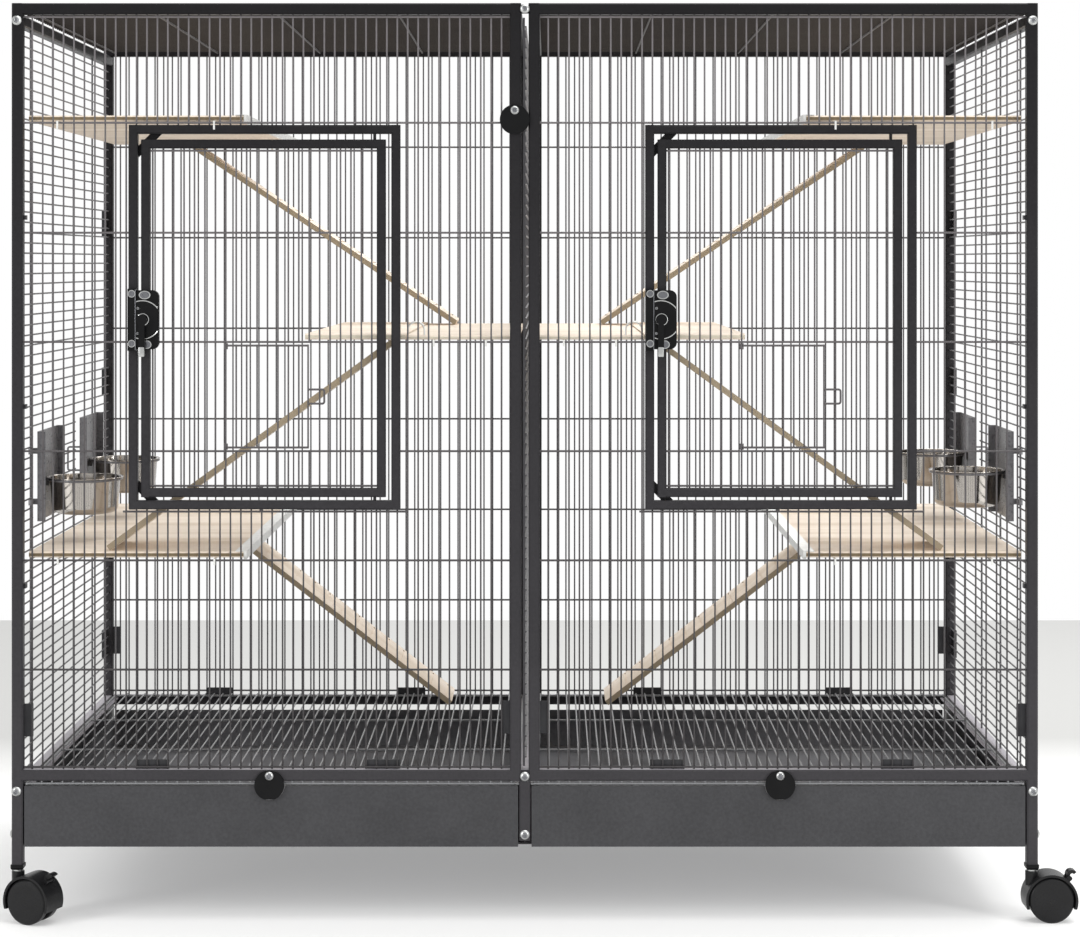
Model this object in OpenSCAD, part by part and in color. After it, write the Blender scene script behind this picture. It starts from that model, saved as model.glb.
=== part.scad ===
// Double indoor cage for ferrets: a steel tube frame with wire walls, two doors,
// wooden shelves and ramps, feeding hatches, slide-out trays and swivel casters.
// Origin on the floor under the middle of the frame, X to the right, Y to the back, Z up.

/* [Frame] */
// Width over the outer posts
cage_w = 1375; // [1250:5:1500]
// Depth over the front and back posts
cage_d = 672; // [640:2:700]
// Height from the floor to the top of the frame
cage_h = 1230; // [1200:5:1260]
// Width of the square frame tube
tube = 15; // [14:0.5:16]
// Chamfer along the edges of the tubes
tube_edge = 2; // [1:0.5:3]
// Height of the lower end of the legs
leg_z = 76; // [74:1:80]
// Underside of the front bottom rail
rail_z = 188; // [184:1:192]
// Underside of the side and back bottom rails
back_rail_z = 168.5; // [164:0.5:172]
// Slot between the two halves, which holds the partition
slot_w = 10; // [9:0.5:12]

/* [Wire] */
// Spacing of the dense wires
pitch = 14; // [13.5:0.5:14.5]
// Radius of the dense wires
wire_r = 1.15; // [0.9:0.05:1.3]
// Radius of the cross wires and wire borders
cross_r = 1.4; // [1.2:0.1:1.6]
// Spacing of the cross wires
cross_pitch = 146.5; // [146:0.5:147]
// Height of the lowest cross wire
cross_z = 190; // [189:0.5:191]

/* [Doors] */
// Left edge of the fixed door frame, from the left edge of its half
door_x = 156.5; // [150:0.5:160]
// Width of the fixed door frame
door_w = 364; // [360:1:368]
// Underside of the fixed door frame
door_z = 551.5; // [551:0.5:552]
// Height of the fixed door frame
door_h = 515.5; // [515:0.5:516]
// Width of the tube of the doors and their fixed frames
door_tube = 12; // [11:0.5:12.5]
// Gap between door and fixed frame at the left and below
door_gap = 4.5; // [4:0.1:5]
// Gap at the right, where the door's edge swings in
hinge_gap = 7.5; // [7:0.5:8]
// Gap above the door
door_top_gap = 7.5; // [6:0.5:9]

/* [Shelves and ramps] */
// Thickness of the shelves
shelf_t = 8; // [6:0.5:10]
// Width of the upper and lower shelves
shelf_w = 289; // [270:1:300]
// Thickness of the thin inner boards of the middle shelf
bridge_t = 6; // [5:0.5:8]
// Width of the ramps
ramp_w = 110; // [90:5:120]
// Thickness of the ramps
ramp_t = 8; // [6:0.5:10]

/* [Feeding] */
// Height of the middle of the feeding hatches
feed_z = 587.5; // [580:0.5:595]
// Outer radius of a bowl's rim
bowl_r = 53; // [48:1:53]
// Depth of a bowl
bowl_h = 50; // [40:1:55]

/* [Trays] */
// Underside of the tray fronts
tray_z = 100; // [98:1:104]
// Top edge of the tray fronts
tray_top = 181; // [178:1:182]
// Thickness of the sheet metal
sheet = 1.2; // [1:0.1:1.5]
// Radius of the turning discs that lock trays and partition
disc_r = 20; // [16:1:22]

/* [Casters] */
// Radius of the wheels
wheel_r = 30; // [26:1:30]
// Distance from the swivel axis to the wheel axle
caster_trail = 24; // [22:1:26]
// Yaw of the left front caster
caster_yaw = 23; // [0:1:45]

/* [Hidden] */

STEEL = "#3a3a3c";
WIRE = "#4c4c50";
ZINC = "#d4d6d8";
BLACK = "#1d1d1f";
WOOD = "#d8c9b4";
CHROME = "#c4c4c6";

air = 0.05;                                   // gap between wires that are welded where they cross
fit = 0.05;                                   // running clearance of pins and rings
x_out = cage_w / 2;                           // outer face of the outer posts
x_in = x_out - tube;
y_out = cage_d / 2;                           // front and back faces of the frame
y_in = y_out - tube;
z_top = cage_h - tube;                        // underside of the top rails
z_rail = rail_z + tube;                       // top of the front bottom rail
z_back = back_rail_z + tube;                  // top of the side and back bottom rails
side_top = z_top - tube - 0.5;                // underside of the side walls' top rails, below the roof
x_slot = slot_w / 2;
half_w = x_out - x_slot;                      // width of one half of the cage
open_w = half_w - 2 * tube;                   // clear width between the posts of a half
y_mid = y_out - tube / 2;                     // middle plane of the front and back walls
cross_y = y_mid + 2;                          // cross wires, outside the dense ones
dense_y = cross_y - cross_r - wire_r - air;
side_dense_x = x_out - tube / 2 - 1;          // dense wires of the side walls
side_cross_x = side_dense_x + cross_r + wire_r + air;
wires = floor(open_w / pitch);                // dense wires of a half
first_wire = tube + (open_w - (wires - 1) * pitch) / 2;

door_in_x = door_x + door_tube;               // opening of the fixed door frame
door_in_w = door_w - 2 * door_tube;
leaf_x = door_in_x + door_gap;                // the moving door
leaf_w = door_in_w - door_gap - hinge_gap;
leaf_z = door_z + door_tube + door_gap;
leaf_h = door_h - 2 * door_tube - door_gap - door_top_gap;
mesh_x = leaf_x + door_tube;                  // wire field of the door
mesh_w = leaf_w - 2 * door_tube;
mesh_z = leaf_z + door_tube;
mesh_h = leaf_h - 2 * door_tube;
door_y = y_mid + door_tube / 2;               // front face of the doors
leaf_first = mesh_x + 3;
leaf_wires = floor((mesh_w - 6) / pitch) + 1;
pivot_x = leaf_x + leaf_w - 15;               // axis of the door, through its top and bottom tubes
pivot_gaps = [door_gap, door_top_gap];
pin_r = 1.5;
pin_len = 8;                                  // length of a pivot pin inside the door

hatch_first = 7;                              // wire of the door that carries the hatch
hatch_wires = 7;
hatch_z = cross_z + 3 * cross_pitch;
hatch_edge = 4.9;                             // from the cross wires to the hatch's rails
handle_w = 22;
handle_h = 19;

lock_z = 806;                                 // height of the lock's spindle
spindle_x = leaf_x + 3.8;
lock_w = 30;
lock_h = 79;
lock_t = 10;
spindle_r = 3;
strike_w = 11.6;
strike_h = 83;

feed_w = 132;                                 // sheet plate of a feeding hatch
feed_h = 124;
feed_flange = 10;                             // upright edges of the plate, turned inwards
feed_y = [-172, 123];                         // middles of the front and the back hatch
feed_open = 146;                              // opening between a hatch's two posts
feed_cut = 4;                                 // wires cut away above and below the middle one
side_rows = floor((side_top - z_back) / pitch);
side_row_0 = z_back + 11.75;
feed_row = round((feed_z - side_row_0) / pitch);
feed_mid = side_row_0 + feed_row * pitch;     // the hatches are centred on a wire
feed_plate_x = side_dense_x - wire_r - 4;     // outer face of the plates
feed_inner_x = feed_plate_x - sheet;
bowl_in = 54;                                 // from the plate to the bowl's middle
bowl_shift = 10;                              // from the plate's middle towards the hinge
ring_r = 1.6;
ring_at = bowl_r - 2;
function ring_z(side) = feed_mid + (side < 0 ? -8 : 2);

level_z = [for (k = [0 : 6]) cross_z + k * cross_pitch];
shelf_gap = 1;
shelf_d = 2 * (y_mid - 8);
middle_d = 2 * (y_mid - 17.5);                // shallower, as the doors' edges swing in before it
top_wire_z = door_z + door_h + 3;             // cross wire over the fixed door frame
shelf_x0 = x_in - 5;                          // outer ends of the side shelves
bridge_x = [9, 160];
landing_x = [161, 297];
upper_z = top_wire_z + cross_r + shelf_gap;
middle_z = level_z[4] + cross_r + shelf_gap;
lower_z = level_z[2] + cross_r + shelf_gap;

grid_z = tray_top + 1.2;                      // underside of the floor grids
grid_r = 1.6;
tray_x = [9, x_in - 2];
tray_wall = 150;                              // top of the tray's side and back walls
notch_r = disc_r + 0.6;
disc_t = 3;
disc_pivot = 12.5;                            // from a disc's middle up to its screw
disc_z = rail_z + tube / 2 - disc_pivot;
pivot_r = 2;
tray_disc_x = 342;
slot_disc = [-13.5, 1074];

hood_r = 35;
hood_t = 3.2;
hood_w = 38;
hood_drop = 20;
axle_r = 3;
wheel_in = 6;
wheel_out = 18.4;
stem_r = 4;
boss_z = 66.5;
brake_at = [25.5, 28.2];                      // brake pin, from the axle

// ---------- shared shapes ----------

// Square tube profile with chamfered edges, centred
module tube_profile(w, h) {
  c = tube_edge;
  polygon([[-w / 2 + c, -h / 2], [w / 2 - c, -h / 2], [w / 2, -h / 2 + c], [w / 2, h / 2 - c],
    [w / 2 - c, h / 2], [-w / 2 + c, h / 2], [-w / 2, h / 2 - c], [-w / 2, -h / 2 + c]]);
}

// Tubes along Z, X and Y from one end to the other, around their centre line
module tube_z(x, y, z0, z1, w = tube)
  translate([x, y, z0]) linear_extrude(z1 - z0) tube_profile(w, w);
module tube_x(x0, x1, y, z, w = tube)
  translate([x0, y, z]) rotate([90, 0, 90]) linear_extrude(x1 - x0) tube_profile(w, w);
module tube_y(x, y0, y1, z, w = tube)
  translate([x, y1, z]) rotate([90, 0, 0]) linear_extrude(y1 - y0) tube_profile(w, w);

// Round wires along X, Y and Z
module wire_x(x0, x1, y, z, r) translate([x0, y, z]) rotate([0, 90, 0]) cylinder(h = x1 - x0, r = r, $fn = 16);
module wire_y(x, y0, y1, z, r) translate([x, y1, z]) rotate([90, 0, 0]) cylinder(h = y1 - y0, r = r, $fn = 16);
module wire_z(x, y, z0, z1, r) translate([x, y, z0]) cylinder(h = z1 - z0, r = r, $fn = 16);

// Box between two corners
module block(a, b) translate(a) cube(b - a);

// Moves the left-hand design of one half to its place: side -1 is left, 1 is right
module in_half(side) translate([side < 0 ? -x_out : x_slot, 0, 0]) children();

// The right-hand design of a piece, mirrored where side is -1
module on_side(side) mirror([side < 0 ? 1 : 0, 0, 0]) children();

// The same shape on the left and on the right, mirrored
module both_sides() for (side = [-1, 1]) on_side(side) children();

// The same shape at the front and at the back, mirrored; it is drawn for the front
module front_and_back() for (back = [0, 1]) mirror([0, back, 0]) children();

// Flat C-shaped wire handle in the XZ plane, open towards -X, with its feet at x = 0
module wire_handle(w, h, r) {
  corner = 3;
  for (s = [-1, 1]) {
    wire_x(0, w - corner, 0, s * h / 2, r);
    translate([w - corner, 0, s * (h / 2 - corner)]) rotate([90, s < 0 ? 90 : 0, 0])
      rotate_extrude(angle = 90, $fn = 24) translate([corner, 0]) circle(r, $fn = 16);
  }
  wire_z(w, 0, -h / 2 + corner, h / 2 - corner, r);
}

// ---------- frame ----------

// One half of the front: posts, rails and the fixed frame of its door
module front_frame(side) color(STEEL) in_half(side) {
  leg = side < 0 ? tube / 2 : half_w - tube / 2;
  inner = side < 0 ? half_w - tube / 2 : tube / 2;
  tube_z(leg, -y_mid, leg_z, cage_h);
  tube_z(inner, -y_mid, rail_z, cage_h);
  for (z = [rail_z, z_top]) tube_x(tube - tube_edge, half_w - tube + tube_edge, -y_mid, z + tube / 2);
  fixed_door_frame();
}

// Tube rectangle that the door closes into, with stops across its two left corners
module fixed_door_frame() {
  h = door_tube / 2;
  for (x = [door_x + h, door_x + door_w - h]) tube_z(x, -y_mid, door_z, door_z + door_h, door_tube);
  for (z = [door_z + h, door_z + door_h - h])
    tube_x(door_x + door_tube - tube_edge, door_x + door_w - door_tube + tube_edge, -y_mid, z, door_tube);
  pivot_pins();
  door_stop(14.5);
  translate([0, 0, 2 * door_z + door_h]) mirror([0, 0, 1]) door_stop(9.5);
}

// Diagonal strap behind the door's corner, welded to the back of the fixed frame; outer is
// the distance from the opening's corner at which it crosses the gaps
module door_stop(outer) {
  inner = outer + 16;
  seat = 6;
  x0 = door_in_x;
  z1 = door_z + door_h - door_tube;
  back = -y_mid + door_tube / 2;
  shape = [[x0 - seat, z1 - outer - seat], [x0 + outer + seat, z1 + seat],
    [x0 + inner + seat, z1 + seat], [x0 - seat, z1 - inner - seat]];
  translate([0, back + 2.3, 0]) rotate([90, 0, 0]) linear_extrude(2) polygon(shape);
  translate([0, back + 1, 0]) rotate([90, 0, 0]) linear_extrude(2) intersection() {
    polygon(shape);
    difference() {
      translate([x0 - seat, z1 - inner - seat]) square(inner + 2 * seat);
      translate([x0 - 0.5, z1 - inner - seat]) square(inner + seat + 0.5);
      translate([x0 - 0.5, z1 - inner - seat]) square([inner + 3 * seat, inner + seat + 0.5]);
    }
  }
}

// Shouldered pins of the fixed frame, on which the door turns
module pivot_pins() {
  shoulder_r = 2.1;
  for (top = [0, 1]) translate([pivot_x, -y_mid, top == 0 ? door_z + door_tube : door_z + door_h - door_tube])
    mirror([0, 0, top]) translate([0, 0, -1]) {
      cylinder(h = 1 + pivot_gaps[top] - 0.3, r = shoulder_r, $fn = 24);
      cylinder(h = 1 + pivot_gaps[top] + pin_len, r = pin_r, $fn = 24);
    }
}

// Top and bottom rails of a side wall; the top one lies below the roof's wires
module side_frame(side) color(STEEL)
  for (z = [back_rail_z, side_top]) tube_y(side * (x_out - tube / 2), -y_in, y_in, z + tube / 2);

// Back wall: legs, middle posts and rails of both halves
module back_frame() color(STEEL) both_sides() {
  tube_z(x_out - tube / 2, y_mid, leg_z, cage_h);
  tube_z(x_slot + tube / 2, y_mid, back_rail_z, cage_h);
  for (z = [back_rail_z, z_top])
    tube_x(x_slot + tube - tube_edge, x_in + tube_edge, y_mid, z + tube / 2);
}

// Roof tubes on both sides of the slot, and the blocks that join the two halves at the top
module roof_frame() color(STEEL) {
  both_sides() tube_y(x_slot + tube / 2, -y_in, y_in, z_top + tube / 2);
  for (y = [-y_mid, y_mid]) block([-x_slot, y - 5, z_top + 2], [x_slot, y + 5, cage_h - 2]);
}

// Runners for the trays, ledges for the floor grids, and the posts between the trays
module base_frame() color(STEEL) {
  ledge = 14;
  side_ledge = 10;
  runner_t = 2;
  both_sides() {
    block([x_in - side_ledge, -y_in, tray_z], [x_in, y_in, tray_z + runner_t]);
    block([x_in - runner_t, -y_in, tray_z], [x_in, y_in, tray_top + runner_t - 3]);
    block([x_in - side_ledge, -y_in, tray_top - 3], [x_in, y_in, tray_top - 1]);
  }
  web_h = tray_top - 1 - tray_z;
  block([-runner_t / 2, -y_in, tray_z], [runner_t / 2, y_in, tray_z + web_h]);
  for (z = [tray_z, tray_top - 3]) block([-ledge, -y_in, z], [ledge, y_in, z + runner_t]);
  tube_z(0, -y_mid, tray_z + 8, rail_z);
  tube_z(0, y_mid, tray_z + 8, back_rail_z);
  block([-x_slot, -y_mid - 5, rail_z - 1], [x_slot, -y_mid + 5, z_rail]);
  block([-x_slot, y_mid - 5, back_rail_z - 1], [x_slot, y_mid + 5, z_back]);
}

// ---------- wire walls ----------

// True where a dense wire of a half passes behind the door frame
function at_door(x) = x > door_x - wire_r && x < door_x + door_w + wire_r;

// Front wires of one half, stopping at the fixed door frame
module front_mesh(side) color(WIRE) in_half(side) {
  for (k = [0 : wires - 1]) let (x = first_wire + k * pitch)
    if (at_door(x)) {
      wire_z(x, -dense_y, z_rail, door_z, wire_r);
      wire_z(x, -dense_y, door_z + door_h, z_top, wire_r);
    } else wire_z(x, -dense_y, z_rail, z_top, wire_r);
  for (z = [level_z[1], level_z[2], top_wire_z]) wire_x(tube, half_w - tube, -cross_y, z, cross_r);
  for (k = [3 : 5]) {
    wire_x(tube, door_x, -cross_y, level_z[k], cross_r);
    wire_x(door_x + door_w, half_w - tube, -cross_y, level_z[k], cross_r);
  }
  wire_x(door_x - 8, door_x + door_w + 10, -cross_y, door_z - 3, cross_r);
  weld_tab(door_z - 3, 1);
  for (z = [z_rail + 3, z_top - 3]) wire_x(tube, half_w - tube, -cross_y, z, cross_r);
}

// Dense wires of a side wall run front to back and stop at the feeding hatches
module side_mesh(side) color(WIRE) on_side(side) {
  half = feed_open / 2;
  spans = [[-y_in, feed_y[0] - half], [feed_y[0] + half, feed_y[1] - half], [feed_y[1] + half, y_in]];
  for (k = [0 : side_rows - 1]) let (z = side_row_0 + k * pitch)
    if (abs(k - feed_row) <= feed_cut) for (span = spans) wire_y(side_dense_x, span[0], span[1], z, wire_r);
    else wire_y(side_dense_x, -y_in, y_in, z, wire_r);
  for (y = feed_y) for (s = [-1, 1]) wire_z(side_cross_x, y + s * half, z_back, side_top, cross_r);
}

// Small tab on the border wire at z, near the middle of the door; way 1 points up, -1 down
module weld_tab(z, way) translate([334, -cross_y, z]) scale([1, 1, way])
  block([-2.5, -1.7, 0], [2.5, 1.2, 2.7]);

// Back wall wires of both halves
module back_mesh() color(WIRE) both_sides() {
  for (k = [0 : wires - 1]) wire_z(x_slot + first_wire + k * pitch, dense_y, z_back, z_top, wire_r);
  for (z = level_z) wire_x(x_slot + tube, x_in, cross_y, z, cross_r);
}

// Roof wires run across each half and over the side rail, on four wires from front to back
module roof_mesh() color(WIRE) both_sides() {
  rows = floor(2 * y_in / pitch);
  row_0 = -(rows - 1) * pitch / 2;
  roof_z = z_top + tube / 2;
  for (k = [0 : rows - 1]) wire_x(x_slot + tube, x_out - 3, row_0 + k * pitch, roof_z, wire_r);
  for (k = [1 : 4]) wire_y(x_slot + 2 + k * 165, -y_in, y_in, roof_z - cross_r - wire_r - air, cross_r);
}

// Wire partition in the slot between the two halves
module partition() color(WIRE) {
  z0 = z_rail + 4;
  z1 = z_top - 4;
  y_edge = y_mid;
  rows = floor((z1 - z0) / pitch);
  row_0 = z0 + (z1 - z0 - (rows - 1) * pitch) / 2;
  for (y = [-y_edge, y_edge]) wire_z(-1.3, y, z0, z1, cross_r);
  for (k = [0 : rows - 1]) wire_y(-1.3 + cross_r + wire_r + air, -y_edge, y_edge, row_0 + k * pitch, wire_r);
  for (y = [-y_edge / 2, 0, y_edge / 2]) wire_z(-1.3, y, z0, z1, cross_r);
}

// ---------- doors ----------

// Tube frame of a door, bored for its pivot pins
module door_frame(side) color(STEEL) in_half(side) {
  h = door_tube / 2;
  difference() {
    union() {
      for (x = [leaf_x + h, leaf_x + leaf_w - h]) tube_z(x, -y_mid, leaf_z, leaf_z + leaf_h, door_tube);
      for (z = [leaf_z + h, leaf_z + leaf_h - h])
        tube_x(leaf_x + door_tube - tube_edge, leaf_x + leaf_w - door_tube + tube_edge, -y_mid, z, door_tube);
    }
    for (top = [0, 1]) translate([pivot_x, -y_mid, leaf_z + top * leaf_h]) mirror([0, 0, top])
      translate([0, 0, -1]) cylinder(h = pin_len + 1.5, r = pin_r + fit, $fn = 24);
  }
}

// Wires of a door, leaving the opening of its small hatch
module door_mesh(side) color(WIRE) in_half(side) {
  lo = hatch_z;
  hi = hatch_z + cross_pitch;
  for (k = [0 : leaf_wires - 1]) let (x = leaf_first + k * pitch)
    if (k > hatch_first && k <= hatch_first + hatch_wires + 1) {
      wire_z(x, -dense_y, mesh_z, lo, wire_r);
      wire_z(x, -dense_y, hi, mesh_z + mesh_h, wire_r);
    } else wire_z(x, -dense_y, mesh_z, mesh_z + mesh_h, wire_r);
  for (k = [3 : 5]) wire_x(mesh_x, mesh_x + mesh_w, -cross_y, level_z[k], cross_r);
  for (z = [mesh_z + 3, mesh_z + mesh_h - 3]) wire_x(mesh_x, mesh_x + mesh_w, -cross_y, z, cross_r);
  weld_tab(mesh_z + 3, -1);
}

// Small wire hatch in a door, hung by two eyes on one of the door's wires
module hatch(side) color(WIRE) in_half(side) {
  hx = leaf_first + hatch_first * pitch;
  x1 = hx + (hatch_wires + 1) * pitch - 1.5;
  mid = hatch_z + cross_pitch / 2;
  rail = cross_pitch / 2 - hatch_edge;
  rail_y = dense_y + wire_r + cross_r + air;
  handle_y = rail_y + 0.3;
  stub_r = 1;
  for (x = [for (k = [1 : hatch_wires]) hx + k * pitch, x1])
    wire_z(x, -dense_y, mid - rail - cross_r, mid + rail + cross_r, wire_r);
  for (s = [-1, 1]) {
    wire_x(hx + 1.6, x1 + wire_r, -rail_y, mid + s * rail, cross_r);
    translate([hx, -dense_y, mid + s * (rail - 1) - 4]) difference() {
      cylinder(h = 8, r = wire_r + fit + 1.6, $fn = 32);
      translate([0, 0, -1]) cylinder(h = 10, r = wire_r + fit, $fn = 32);
    }
  }
  translate([x1, -handle_y, mid]) {
    wire_handle(handle_w, handle_h, cross_r);
    for (s = [-1, 1]) translate([0.6, 0, s * handle_h / 2]) rotate([-90, 0, 0])
      cylinder(h = handle_y - dense_y, r = stub_r, $fn = 16);
  }
}

// Moulded lock case on the door's left stile
module lock_case(side) color(BLACK) in_half(side) {
  corner = 9;
  bulge = 26;
  x0 = door_in_x - 0.2;
  difference() {
    union() {
      translate([0, -door_y, 0]) rotate([90, 0, 0]) linear_extrude(lock_t - 3) difference() {
        translate([x0, lock_z - lock_h / 2]) square([lock_w, lock_h]);
        for (s = [-1, 1]) translate([x0 + lock_w, lock_z + s * lock_h / 2]) difference() {
          translate([-corner, s < 0 ? 0 : -corner]) square([corner + 1, corner]);
          translate([-corner, -s * corner]) circle(corner, $fn = 48);
        }
      }
      translate([spindle_x, -door_y, lock_z]) rotate([90, 0, 0]) linear_extrude(lock_t) intersection() {
        circle(bulge, $fn = 64);
        translate([x0 - spindle_x, -bulge]) square([lock_w - 1, 2 * bulge]);
      }
    }
    translate([spindle_x, -door_y - lock_t - 1, lock_z]) rotate([-90, 0, 0])
      cylinder(h = lock_t - 1, r = spindle_r + fit, $fn = 32);
  }
}

// Lever of a lock: spindle, round boss and hanging arm with its finger tip
module lock_lever(side) color(BLACK) in_half(side) {
  front = -door_y - lock_t - 0.3;
  arm = 49;
  translate([spindle_x, front, lock_z]) rotate([90, 0, 0]) {
    cylinder(h = 7, r = 7, $fn = 48);
    translate([0, 0, -lock_t + 4]) cylinder(h = lock_t - 3, r = spindle_r, $fn = 32);
    translate([0, 0, 2]) linear_extrude(5) {
      translate([-4, -38]) square([8, 38]);
      translate([-3.2, -arm + 3.2]) square([6.4, arm - 38]);
      translate([0, -arm + 3.2]) circle(3.2, $fn = 32);
    }
  }
}

// Strikes on the fixed frames, beside the locks
module lock_strikes() color(BLACK) for (side = [-1, 1]) in_half(side)
  block([door_x + 0.2, -door_y - lock_t + 1, lock_z - strike_h / 2],
    [door_x + strike_w, -door_y, lock_z + strike_h / 2]);

// ---------- shelves and ramps ----------

// A board with rounded long edges, lying between two X values
module board(x0, x1, z, t, d = shelf_d) translate([x0, 0, z + t / 2]) rotate([90, 0, 90]) linear_extrude(x1 - x0) {
  r = min(t / 2, 2);
  polygon([[-d / 2, -t / 2 + r], [-d / 2 + r, -t / 2], [d / 2 - r, -t / 2], [d / 2, -t / 2 + r],
    [d / 2, t / 2 - r], [d / 2 - r, t / 2], [-d / 2 + r, t / 2], [-d / 2, t / 2 - r]]);
}

// Side shelves of one level
module shelf_pair(z) color(WOOD) both_sides() board(shelf_x0 - shelf_w, shelf_x0, z, shelf_t);

// Middle level: a thin board beside the slot and a thicker landing beyond it
module shelves_middle() color(WOOD) both_sides() {
  board(bridge_x[0], bridge_x[1], middle_z, bridge_t, middle_d);
  board(landing_x[0], landing_x[1], middle_z, shelf_t, middle_d);
}

// A ramp with saw grooves for the paws, from a lower to an upper point of its top face, [x, z]
module ramp(foot, head, y) {
  run = abs(head[0] - foot[0]);
  rise = head[1] - foot[1];
  len = sqrt(run * run + rise * rise);
  grooves = floor((len - 20) / 30);
  translate([foot[0], y, foot[1]]) mirror([head[0] < foot[0] ? 1 : 0, 0, 0]) rotate([0, -atan2(rise, run), 0])
    difference() {
      translate([0, -ramp_w / 2, -ramp_t]) cube([len, ramp_w, ramp_t]);
      for (k = [0 : grooves]) translate([12 + k * 30, -ramp_w / 2 + 8, -1.2]) cube([2.5, ramp_w - 16, 2]);
    }
}

under = 0.2;                                  // from a shelf's underside down to a ramp's head
ramp_back_y = shelf_d / 2 - ramp_w / 2;
ramp_front_y = (ramp_w - middle_d) / 2;
module ramps_upper() color(WOOD) both_sides()
  ramp([112, middle_z + bridge_t + 6.9], [530, upper_z - under], ramp_back_y);
module ramps_middle() color(WOOD) both_sides()
  ramp([565, lower_z + shelf_t + 6.8], [182, middle_z - under], ramp_front_y);
module ramps_lower() color(WOOD) both_sides()
  ramp([120, grid_z + 12.2], [496, lower_z - under], ramp_back_y);

// Edge profiles on the side shelves' inner ends, hooks over the cross wires, wire loops on the
// middle boards, and straps that carry the landings on those boards
module shelf_fittings() color(ZINC) both_sides() {
  for (z = [upper_z, lower_z]) end_profile(shelf_x0 - shelf_w, z);
  front_and_back() {
    for (k = [27, 42]) shelf_hook(k, level_z[2], shelf_d / 2);
    for (k = [1, 6]) shelf_hook(k, level_z[4], middle_d / 2);
    block([110, -196, middle_z - 2.1], [210, -176, middle_z - 0.1]);
  }
  shelf_loop();
  for (k = [27, 42]) {
    shelf_hook(k, top_wire_z, shelf_d / 2, door_y + 0.3, 9.4);
    mirror([0, 1, 0]) shelf_hook(k, level_z[6], shelf_d / 2);
  }
}

// Edge profile round the end of a shelf at x
module end_profile(x, z) {
  wall = 4;
  lap = 11;
  slack = 0.05;
  block([x - wall, -shelf_d / 2, z - 2], [x - slack, shelf_d / 2, z + shelf_t + sheet + slack]);
  block([x - wall, -shelf_d / 2, z + shelf_t + slack], [x + lap, shelf_d / 2, z + shelf_t + sheet + slack]);
}

// Flat hook under a board's front edge at y = -edge, over the cross wire at z, beside dense
// wire k; its end hangs in front of y = -face, down to z - drop
module shelf_hook(k, z, edge, face = cross_y + cross_r + 0.3, drop = 6) {
  w = 2.6;
  t = 0.8;
  x = x_slot + first_wire + (k + 0.5) * pitch - w / 2;
  top = z + cross_r + 0.1 + t;
  block([x, -face - t, top - t], [x + w, -edge + 9, top]);
  block([x, -face - t, z - drop], [x + w, -face, top]);
}

// Wire loop that stands on the front corner of a middle board
module shelf_loop() {
  r = 1.3;
  bow = 11;
  x = 147;
  y = -middle_d / 2 + 5;
  z = middle_z + bridge_t;
  translate([x, y, z + 7]) rotate([90, 0, 0]) rotate_extrude(angle = 180, $fn = 48)
    translate([bow, 0]) circle(r, $fn = 16);
  wire_z(x - bow, y, z + 0.1, z + 7.2, r * 0.9);
  wire_z(x + bow, y, z + 3, z + 7.2, r * 0.9);
}

// ---------- feeding hatches ----------

// Places a feeding hatch; it is drawn as the right-hand back one, around its middle in Y.
// The front ones are mirrored, so that their hinges are at the front; i is 0 front, 1 back
module at_feeder(side, i) translate([0, feed_y[i], 0]) on_side(side) mirror([0, 1 - i, 0]) children();

// Hatch plate with its hinge eyes, wire handle and bowl holder
module feeder(side, i) color(STEEL) at_feeder(side, i) {
  edge = feed_w / 2;
  low = feed_mid - feed_h / 2;
  high = feed_mid + feed_h / 2;
  hinge = feed_open / 2;
  eye = cross_r + fit;
  block([feed_inner_x, -edge, low], [feed_plate_x, edge, high]);
  for (y = [-edge, edge - sheet]) block([feed_inner_x - feed_flange, y, low], [feed_plate_x, y + sheet, high]);
  for (s = [-1, 1]) let (z = feed_mid + s * 2.5 * pitch) {
    translate([side_cross_x, hinge, z - 4]) difference() {
      cylinder(h = 8, r = eye + 1.6, $fn = 32);
      translate([0, 0, -1]) cylinder(h = 10, r = eye, $fn = 32);
    }
    block([feed_inner_x, edge - 6, z - 4], [side_cross_x + 1, edge - 4, z + 4]);
    block([side_cross_x - 1, edge - 6, z - 4], [side_cross_x + 1, hinge - eye - 0.6, z + 4]);
  }
  translate([feed_plate_x - 0.4, -edge + 5, feed_mid]) wire_handle(19, 35, cross_r);
  bowl_holder(ring_z(side));
}

// Wire ring under the bowl's rim, its clamp on the plate and the clamp's bolt head outside
module bowl_holder(z) {
  translate([feed_inner_x - bowl_in, bowl_shift, z]) rotate_extrude($fn = 64)
    translate([ring_at, 0]) circle(ring_r, $fn = 16);
  block([feed_inner_x - 4.2, bowl_shift - 5, z - 9], [feed_inner_x + 0.4, bowl_shift + 5, z + 0.6]);
  translate([feed_plate_x - 0.4, bowl_shift, z - 4]) rotate([0, 90, 0]) cylinder(h = 3.4, r = 5, $fn = 6);
}

// Spun steel bowl that hangs in its ring by its rim
module bowl(side, i) color(CHROME) at_feeder(side, i) {
  wall = 0.9;
  curl = 0.8;
  top = ring_z(side) + ring_r + 0.1 + wall;
  r_top = ring_at - ring_r - 0.5;
  r_low = r_top - 3;
  round_r = 10;
  translate([feed_inner_x - bowl_in, bowl_shift, top - bowl_h]) rotate_extrude($fn = 96) {
    difference() {
      bowl_half(r_top, r_low, round_r, bowl_h);
      translate([0, wall]) bowl_half(r_top - wall, r_low - wall, round_r - wall, bowl_h);
    }
    translate([r_top - wall, bowl_h - wall]) square([bowl_r - curl - r_top + wall, wall]);
    translate([bowl_r - curl, bowl_h - wall + curl]) circle(curl, $fn = 24);
  }
}

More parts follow.
